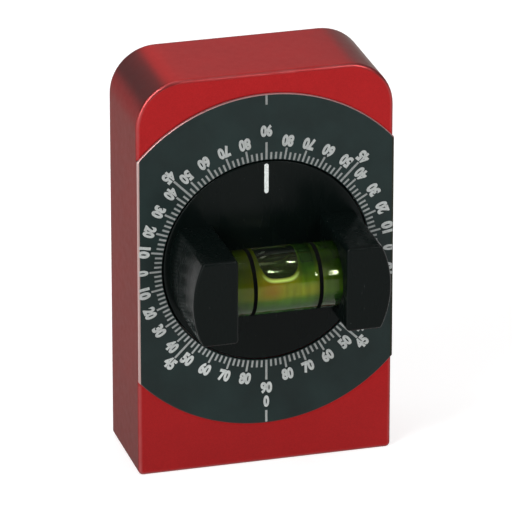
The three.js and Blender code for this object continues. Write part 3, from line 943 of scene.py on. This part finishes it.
class LEVEL_OT_end_blocks(LevelOperator):
    """Make the two glossy end blocks with the seats of the vial"""

    bl_idname = "level.end_blocks"
    bl_label = "End blocks"

    corner_round = 0.7 * MM
    steps = 6
    outer_steps = 32
    flat_rim = 0.3 * MM  # strip of flat face beside the rounded edge
    seat_depth = 8 * MM
    seat_end_play = 0.1 * MM

    def outline(self, inset):
        """Right block from the front: flat inside and round outside, moved inwards by inset. The
        outer corners touch both the flat end and the arc round the dial's centre."""
        inner = -LEFT.right + inset
        radius = -LEFT.left - inset
        corner = max(self.corner_round - inset, LEAST_ROUND)
        z = (LEFT.top - LEFT.foot) / 2 - inset - corner
        x = math.sqrt((radius - corner) ** 2 - z ** 2)
        meet, steps = math.atan2(z, x), self.steps
        return np.vstack([
            arc((0, 0), radius, -meet, meet, self.outer_steps),
            arc((x, z), corner, meet, QUARTER, steps)[1:],
            arc((inner + corner, z), corner, QUARTER, 2 * QUARTER, steps),
            arc((inner + corner, -z), corner, 2 * QUARTER, 3 * QUARTER, steps),
            arc((x, -z), corner, 3 * QUARTER, 4 * QUARTER - meet, steps)[:-1],
        ])

    def build(self, sizes, colours):
        edge, front, foot = sizes.end_block_round, LEFT.near, LEFT.far
        turn = np.linspace(0, QUARTER, self.steps + 1)
        levels = [(edge + self.flat_rim, front)]
        levels += [(inset, front + depth) for inset, depth in rounded_edge(edge, turn)]
        levels += [(0.0, front + (foot - front) * share) for share in (0.06, 0.5, 1.0)]
        material = gloss_black(colours)
        seat, seat_end = VIAL_RADIUS + FIT, BARREL.right + self.seat_end_play
        for side, word in SIDES:
            rings = [at_depth(self.outline(inset) * (side, 1) + (0, DIAL_Z), y)
                     for inset, y in levels]
            piece = make_object(f"end_block_{word}_shell", ring_surface(rings))
            low, high = sorted((side * (seat_end - self.seat_depth), side * seat_end))
            vial = turned([(seat, low), (seat, high)], ROUND, "X", VIAL_MIDDLE)
            combine(piece, [vial], "DIFFERENCE")
            place(piece, material, "turret", "turret_plastic", f"end_block_{word}")


class LEVEL_OT_vial(LevelOperator):
    """Make the clear barrel, the liquid with its bubble and the two black lines"""

    bl_idname = "level.vial"
    bl_label = "Vial"

    count = 160  # points round the vial
    bore_stations, liquid_stations, bubble_stations = 25, 41, 61  # places along X
    middle = 0.5  # radius at which the flat ends close, as a share of theirs
    bore_play = 0.05 * MM  # how much wider the bore is than the solid's facets
    crown = 0.15 * MM  # how much narrower the bore is at its ends
    wet = 0.015 * MM  # how far the liquid reaches into the barrel
    groove_depth = 0.2 * MM
    groove_play = 0.02 * MM
    bubble_length = 7.4 * MM
    bubble_width = 16.0 * MM
    bubble_height = 6.2 * MM
    bubble_fullness = 3.6
    bubble_x = -1.0 * MM
    shore = 0.24  # width of the shore's painted highlight, as a share of the bubble
    shore_fade = 1.6 * MM

    def bore(self, x):
        """Radius of the bore, which is widest at its middle."""
        return BORE_RADIUS + self.bore_play - self.crown * (x / FLUID.right) ** 2

    def build(self, sizes, colours):
        end, liquid_end = BARREL.right, FLUID.right
        groove = VIAL_RADIUS - self.groove_depth
        lines = {word: sorted((-side * RING.left, -side * RING.right)) for side, word in SIDES}
        profile = [(self.middle * VIAL_RADIUS, -end), (VIAL_RADIUS, -end)]
        for low, high in lines.values():
            low, high = low - self.groove_play, high + self.groove_play
            profile += [(VIAL_RADIUS, low), (groove, low), (groove, high), (VIAL_RADIUS, high)]
        stations = np.linspace(liquid_end, -liquid_end, self.bore_stations)
        profile += [(VIAL_RADIUS, end), (self.bore(liquid_end), end)]
        profile += [(self.bore(x), x) for x in stations]
        profile += [(self.middle * BORE_RADIUS, -liquid_end)]
        surface = turned(profile, self.count, "X", VIAL_MIDDLE)
        barrel = make_object("vial_barrel_clear", surface, crease=30)
        place(barrel, clear_acrylic(), "turret", "vial_clear", "vial_barrel")
        self.liquid(colours, liquid_end)
        black = line_black()
        for word, (low, high) in lines.items():
            section = [(groove, low), (VIAL_RADIUS, low), (VIAL_RADIUS, high), (groove, high)]
            surface = turned(section, self.count, "X", VIAL_MIDDLE, closed=True)
            line = make_object(f"vial_line_{word}", surface)
            place(line, black, "turret", "black_line", f"vial_ring_{word}")

    def liquid(self, colours, liquid_end):
        """Filling of the bore. Its radius at each place along X and each angle is the bore's, or
        less where the gas at the top of the bore is nearer to the axis. The gas ends where three
        shares add up to 1: of its half length to the power of its fullness, and of its half width
        and its depth, both squared. The shore, which carries a painted highlight, is strongest
        halfway through a band round the gas, and fades upwards."""
        middle, depth = self.bubble_x, self.bubble_height / 2
        half_length, half_width = self.bubble_length / 2, self.bubble_width / 2
        near = middle + half_length * np.sin(np.linspace(-QUARTER, QUARTER, self.bubble_stations))
        x = np.linspace(-liquid_end, liquid_end, self.liquid_stations)
        x = np.union1d(near, x)[:, None]
        angle = np.linspace(0, FULL_TURN, 2 * self.count, endpoint=False)[None, :]
        across, up = np.cos(angle), np.sin(angle)
        bore, top = self.bore(x) + self.wet, BORE_RADIUS
        lengthwise = np.abs((x - middle) / half_length) ** self.bubble_fullness
        level = 1 - lengthwise
        a = (across / half_width) ** 2 + (up / depth) ** 2
        b = -2 * up * top / depth ** 2
        c = (top / depth) ** 2 - level
        inside = b * b - 4 * a * c
        hit = (-b - np.sqrt(np.maximum(inside, 0))) / (2 * a)
        dented = (inside > 0) & (level > 0) & (up > 0) & (hit < bore)
        radius = np.where(dented, hit, bore)
        rings = np.stack([np.broadcast_to(x, radius.shape), VIAL_Y + radius * across,
                          DIAL_Z + radius * up], axis=2)
        wall = lengthwise + (bore * across / half_width) ** 2
        beyond = np.sqrt(wall + ((bore * up - top) / depth) ** 2) - 1
        shore = np.where(dented, 0, np.clip(1 - np.abs(beyond / self.shore - 0.5) * 2, 0, 1))
        rim = (bore * up)[shore > 0].min()
        shore = shore * np.clip(1 - (bore * up - rim) / self.shore_fade, 0, 1)
        piece = make_object("vial_liquid_fill", ring_surface(rings), crease=50,
                            bubble=dented.astype(float), shore=shore)
        place(piece, vial_liquid(colours), "turret", "vial_fluid", "vial_fluid")


class LEVEL_OT_fasteners(LevelOperator):
    """Make the pivot screw and its washer, and finish the screws that stay hidden"""

    bl_idname = "level.fasteners"
    bl_label = "Fasteners"

    shank = 2 * MM
    crown = 0.55  # height of the head's crown, as a share of the head's
    shoulder = 0.55  # radius at which the crown ends, as a share of the head's
    middle = 0.3  # radius at which the top closes, as a share of the head's
    head_rounds = (0, 0, 0.15 * MM, 1.2 * MM, 0.8 * MM, 0)
    key_width = 2.5 * MM
    key_depth = 1.3 * MM
    washer_hole = 2.4 * MM
    washer_round = 0.1 * MM

    def build(self, sizes, colours):
        steel = plated_steel("zinc_steel", colours.steel, 0.28)
        radius = (SCREW.right - SCREW.left) / 2
        under, top = WASHER.far + FIT, SCREW.far
        section = [(self.shank, SCREW.near), (self.shank, under), (radius, under),
                   (radius, top - self.crown * (top - under)), (self.shoulder * radius, top),
                   (self.middle * radius, top)]
        section = filleted(section, self.head_rounds, steps=8, closed=False)
        screw = make_object("pivot_screw_head", turned(section, ROUND))
        key = self.key_width / 2 / math.cos(math.pi / 6)
        socket = [(key, top - self.key_depth), (key, top + MM)]
        combine(screw, [turned(socket, count=6)], "DIFFERENCE")
        place(screw, steel, "turret", "steel", "pivot_screw")
        inner, outer = self.washer_hole, WASHER.right
        low, high = WASHER.near, WASHER.far
        loop = [(inner, low), (outer, low), (outer, high), (inner, high)]
        loop = filleted(loop, [self.washer_round] * 4, steps=3)
        washer = make_object("flat_washer_ring", turned(loop, count=128, closed=True))
        place(washer, steel, "turret", "steel", "flat_washer")
        for node in ("wave_washer", "block_screw_left_upper", "block_screw_left_lower",
                     "block_screw_right_upper", "block_screw_right_lower"):
            dress(node, steel)


class LEVEL_OT_magnets(LevelOperator):
    """Make the two steel cups and their magnets in the block's base"""

    bl_idname = "level.magnets"
    bl_label = "Magnets"

    middle = 0.3  # radius at which the flat faces close, as a share of the piece's
    cup_rounds = (0, 0.2 * MM, 0.2 * MM, 0.15 * MM, 0, 0)
    magnet_rounds = (0, 0.2 * MM, 0.3 * MM, 0)

    def build(self, sizes, colours):
        steel = plated_steel("cup_steel", colours.steel, 0.32)
        nickel = plated_steel("nickel_plate", (0.62, 0.60, 0.56), 0.18)
        radius = (MAGNET.right - MAGNET.left) / 2
        wall, ceiling = radius + FIT, MAGNET.top + FIT
        cup = [(self.middle * CUP_RADIUS, CUP.top), (CUP_RADIUS, CUP.top),
               (CUP_RADIUS, CUP.foot), (wall, CUP.foot), (wall, ceiling),
               (self.middle * CUP_RADIUS, ceiling)]
        cup = filleted(cup, self.cup_rounds, steps=4, closed=False)
        magnet = [(self.middle * radius, MAGNET.top), (radius, MAGNET.top),
                  (radius, MAGNET.foot), (self.middle * radius, MAGNET.foot)]
        magnet = filleted(magnet, self.magnet_rounds, steps=5, closed=False)
        for side, word in SIDES:
            spot = (side * CUP_X, 0, 0)
            shell = make_object(f"magnet_cup_{word}_shell", turned(cup, ROUND, "Z", spot))
            place(shell, steel, "block", "steel", f"magnet_cup_{word}")
            puck = make_object(f"magnet_{word}_puck", turned(magnet, ROUND, "Z", spot))
            place(puck, nickel, "block", "magnet", f"magnet_{word}")


class LEVEL_OT_inner_pieces(LevelOperator):
    """Finish the bush, the rubber ring and the plug that stay inside"""

    bl_idname = "level.inner_pieces"
    bl_label = "Inner pieces"

    def build(self, sizes, colours):
        dress("pivot_bush", dull_plastic("natural_nylon", (0.72, 0.69, 0.58), 0.5))
        dress("friction_ring", dull_plastic("ring_rubber", (0.012, 0.012, 0.012), 0.7))
        dress("vial_plug", dull_plastic("plug_black", (0.02, 0.02, 0.02), 0.5))


OPERATORS = LevelOperator.__subclasses__()  # in the order in which they stand above


class LEVEL_PT_panel(bpy.types.Panel):
    """Lists the level's operators, sizes and colours"""

    bl_idname = "LEVEL_PT_panel"
    bl_label = "Flange level"
    bl_space_type = "VIEW_3D"
    bl_region_type = "UI"
    bl_category = "Level"

    def draw(self, context):
        for operator in OPERATORS:
            self.layout.operator(operator.bl_idname)
        for group in (context.scene.level_sizes, context.scene.level_colours):
            for name in group.__annotations__:
                self.layout.prop(group, name)


CLASSES = (LevelSizes, LevelColours, *OPERATORS, LEVEL_PT_panel)


def register():
    for each in CLASSES:
        bpy.utils.register_class(each)
    bpy.types.Scene.level_sizes = bpy.props.PointerProperty(type=LevelSizes)
    bpy.types.Scene.level_colours = bpy.props.PointerProperty(type=LevelColours)


def unregister():
    del bpy.types.Scene.level_colours
    del bpy.types.Scene.level_sizes
    for each in reversed(CLASSES):
        bpy.utils.unregister_class(each)


def main():
    register()
    for operator in OPERATORS:
        _, name = operator.bl_idname.split(".")
        getattr(bpy.ops.level, name)()


if __name__ == "__main__":
    main()
